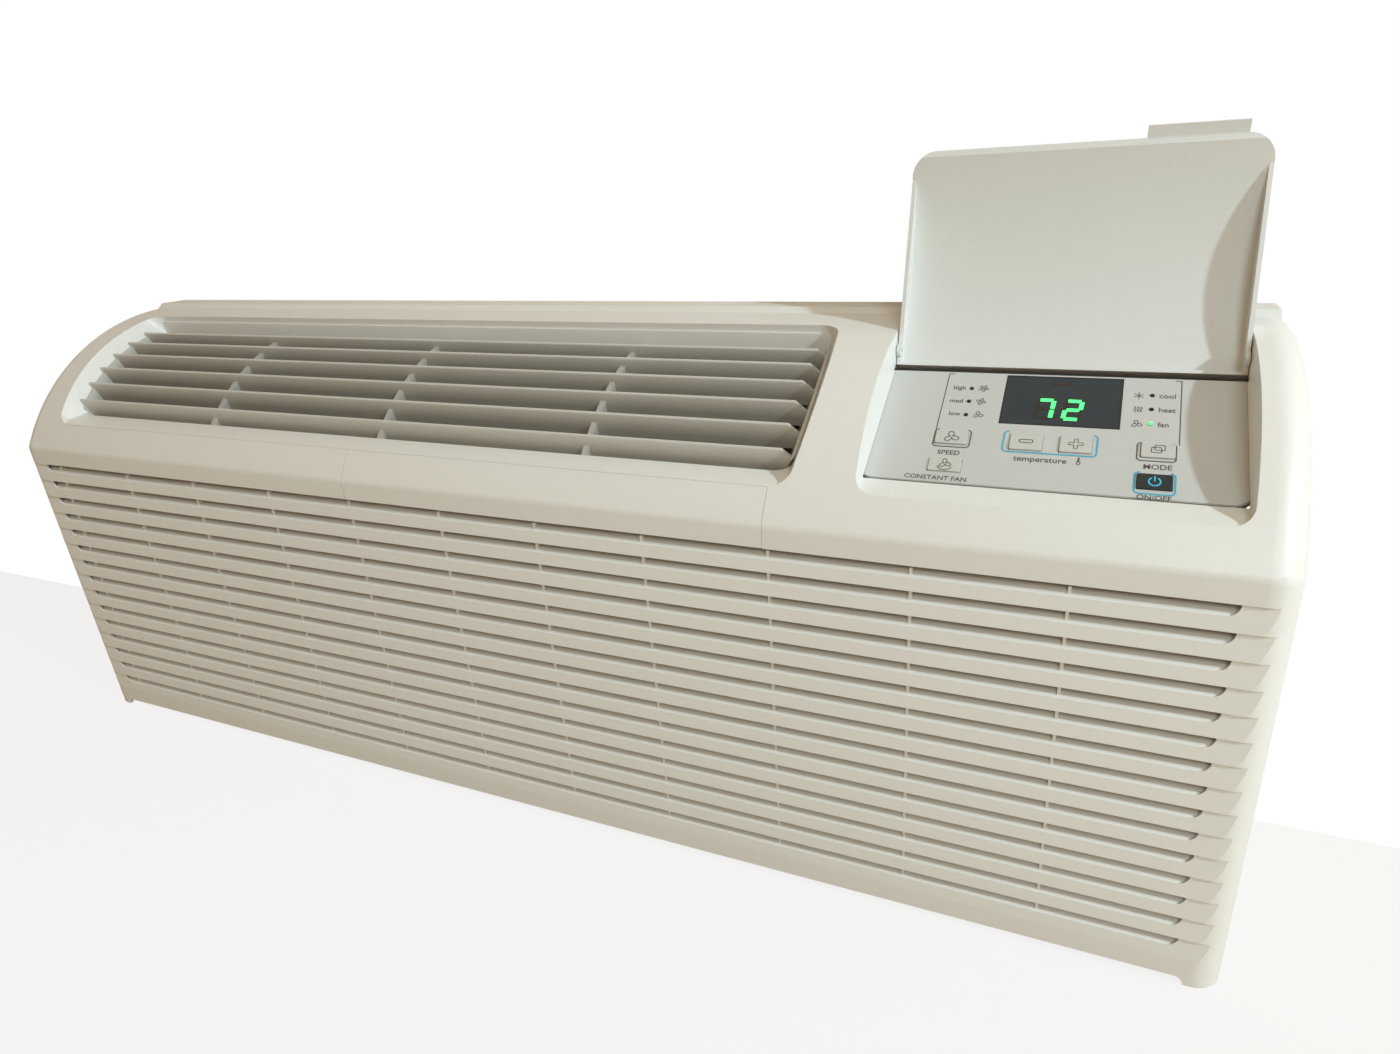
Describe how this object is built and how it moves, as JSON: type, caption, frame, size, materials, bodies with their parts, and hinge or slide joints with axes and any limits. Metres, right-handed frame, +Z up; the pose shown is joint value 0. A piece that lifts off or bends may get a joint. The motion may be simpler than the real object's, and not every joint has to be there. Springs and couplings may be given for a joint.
{
  "type": "through-the-wall air conditioner",
  "caption": "Packaged terminal air conditioner: louvred room cover with discharge grille, lift-out filters and a control door, on a slide-in chassis with fans, coils and compressor",
  "frame": {"origin": "centre line of the unit, face of the wall, underside of the base pan", "axes": "+X to the right as seen from the room, +Y into the wall, +Z up"},
  "size_m": [1.067, 0.5521, 0.5192],
  "materials": {
    "warm_white": "fine satin moulding",
    "panel_silver": "printed overlay, satin",
    "display_dark": "smoked window",
    "lamp_green": "clear moulding",
    "key_grey": "satin key caps",
    "key_dark": "satin key cap",
    "carrier_grey": "moulded",
    "mesh_black": "woven nylon mesh",
    "zinc": "galvanised sheet",
    "steel": "plain",
    "fin_aluminium": "thin fins",
    "copper": "drawn copper tube",
    "black_plastic": "moulded",
    "foam_grey": "closed-cell foam",
    "black_paint": "baked enamel",
    "black_rubber": "moulded",
    "board_green": "circuit board"
  },
  "bodies": {
    "chassis": {"accumulator": "black_paint", "base_pan": "zinc", "blower_bearing": "black_rubber", "blower_scroll": "black_plastic", "bulkhead": "zinc", "compressor": "black_paint", "compressor_grommets": "black_rubber", "compressor_studs": "steel", "condenser_fins": "fin_aluminium", "condenser_tubes": "copper", "control_board": "board_green", "control_box": "zinc", "control_box_cover": "zinc", "control_box_stand": "zinc", "control_panel": "carrier_grey", "cord_gland": "black_plastic", "display_module": "black_plastic", "display_window": "display_dark", "drain_tray": "black_plastic", "electric_heater": "steel", "evaporator_fins": "fin_aluminium", "evaporator_tubes": "copper", "fan_shroud": "black_plastic", "foam_liner": "foam_grey", "indoor_motor": "black_paint", "indoor_motor_stand": "zinc", "key_board": "board_green", "lever_guides": "black_plastic", "motor_bracket": "zinc", "mounting_flanges": "zinc", "outdoor_motor": "black_paint", "panel_overlay": "panel_silver", "refrigerant_tubes": "copper", "run_capacitor": "steel", "sleeve_screws": "steel", "status_lamps": "lamp_green", "terminal_cover": "black_plastic", "top_brace": "zinc", "transformer": "steel", "vent_frame": "black_plastic"},
    "front_cover": {"cover_shell": "warm_white", "discharge_grille": "warm_white"},
    "control_door": {"control_door": "warm_white", "door_pins": "steel"},
    "filter_left": {"filter_left": "warm_white", "filter_mesh_left": "mesh_black"},
    "filter_right": {"filter_right": "warm_white", "filter_mesh_right": "mesh_black"},
    "button_fan_speed": {"button_fan_speed": "key_grey"},
    "button_constant_fan": {"button_constant_fan": "key_grey"},
    "button_minus": {"button_minus": "key_grey"},
    "button_plus": {"button_plus": "key_grey"},
    "button_mode": {"button_mode": "key_grey"},
    "button_power": {"button_power": "key_dark"},
    "indoor_blower": {"blower_wheel": "black_plastic", "blower_shaft": "steel"},
    "outdoor_fan": {"outdoor_fan": "black_plastic", "outdoor_shaft": "steel"},
    "vent_lever": {"vent_lever": "black_plastic"},
    "vent_flap": {"vent_flap": "black_plastic"}
  },
  "joints": [
    {"name": "cover_slide", "type": "slide", "parent": "chassis", "child": "front_cover", "axis": [0, -1, 0], "range_m": [0, 0.25]},
    {"name": "control_door_hinge", "type": "hinge", "parent": "front_cover", "child": "control_door", "pos_m": [0.3985, -0.0794, 0.3838], "axis": [1, 0, 0], "range_deg": [0, 135]},
    {"name": "filter_left_slide", "type": "slide", "parent": "front_cover", "child": "filter_left", "axis": [0, -0.046, 0.9989], "range_m": [0, 0.29]},
    {"name": "filter_right_slide", "type": "slide", "parent": "front_cover", "child": "filter_right", "axis": [0, -0.046, 0.9989], "range_m": [0, 0.29]},
    {"name": "button_fan_speed_press", "type": "slide", "parent": "chassis", "child": "button_fan_speed", "axis": [0, 0.5105, -0.8599], "range_m": [0, 0.0008], "stiffness_N_per_m": 800},
    {"name": "button_constant_fan_press", "type": "slide", "parent": "chassis", "child": "button_constant_fan", "axis": [0, 0.5105, -0.8599], "range_m": [0, 0.0008], "stiffness_N_per_m": 800},
    {"name": "button_minus_press", "type": "slide", "parent": "chassis", "child": "button_minus", "axis": [0, 0.5105, -0.8599], "range_m": [0, 0.0008], "stiffness_N_per_m": 800},
    {"name": "button_plus_press", "type": "slide", "parent": "chassis", "child": "button_plus", "axis": [0, 0.5105, -0.8599], "range_m": [0, 0.0008], "stiffness_N_per_m": 800},
    {"name": "button_mode_press", "type": "slide", "parent": "chassis", "child": "button_mode", "axis": [0, 0.5105, -0.8599], "range_m": [0, 0.0008], "stiffness_N_per_m": 800},
    {"name": "button_power_press", "type": "slide", "parent": "chassis", "child": "button_power", "axis": [0, 0.5105, -0.8599], "range_m": [0, 0.0008], "stiffness_N_per_m": 800},
    {"name": "blower_turn", "type": "hinge", "parent": "chassis", "child": "indoor_blower", "pos_m": [-0.1, -0.04, 0.2], "axis": [1, 0, 0], "continuous": true},
    {"name": "outdoor_fan_turn", "type": "hinge", "parent": "chassis", "child": "outdoor_fan", "pos_m": [0.06, 0.228, 0.186], "axis": [0, 1, 0], "continuous": true},
    {"name": "vent_lever_slide", "type": "slide", "parent": "chassis", "child": "vent_lever", "axis": [0, -1, 0], "range_m": [0, 0.014]},
    {"name": "vent_flap_hinge", "type": "hinge", "parent": "chassis", "child": "vent_flap", "pos_m": [0.405, 0.038, 0.058], "axis": [-1, 0, 0], "range_deg": [0, 24.32]}
  ],
  "couplings": [
    {"joint": "vent_flap_hinge", "follows": "vent_lever_slide", "rad_per_m": 30.314}
  ]
}
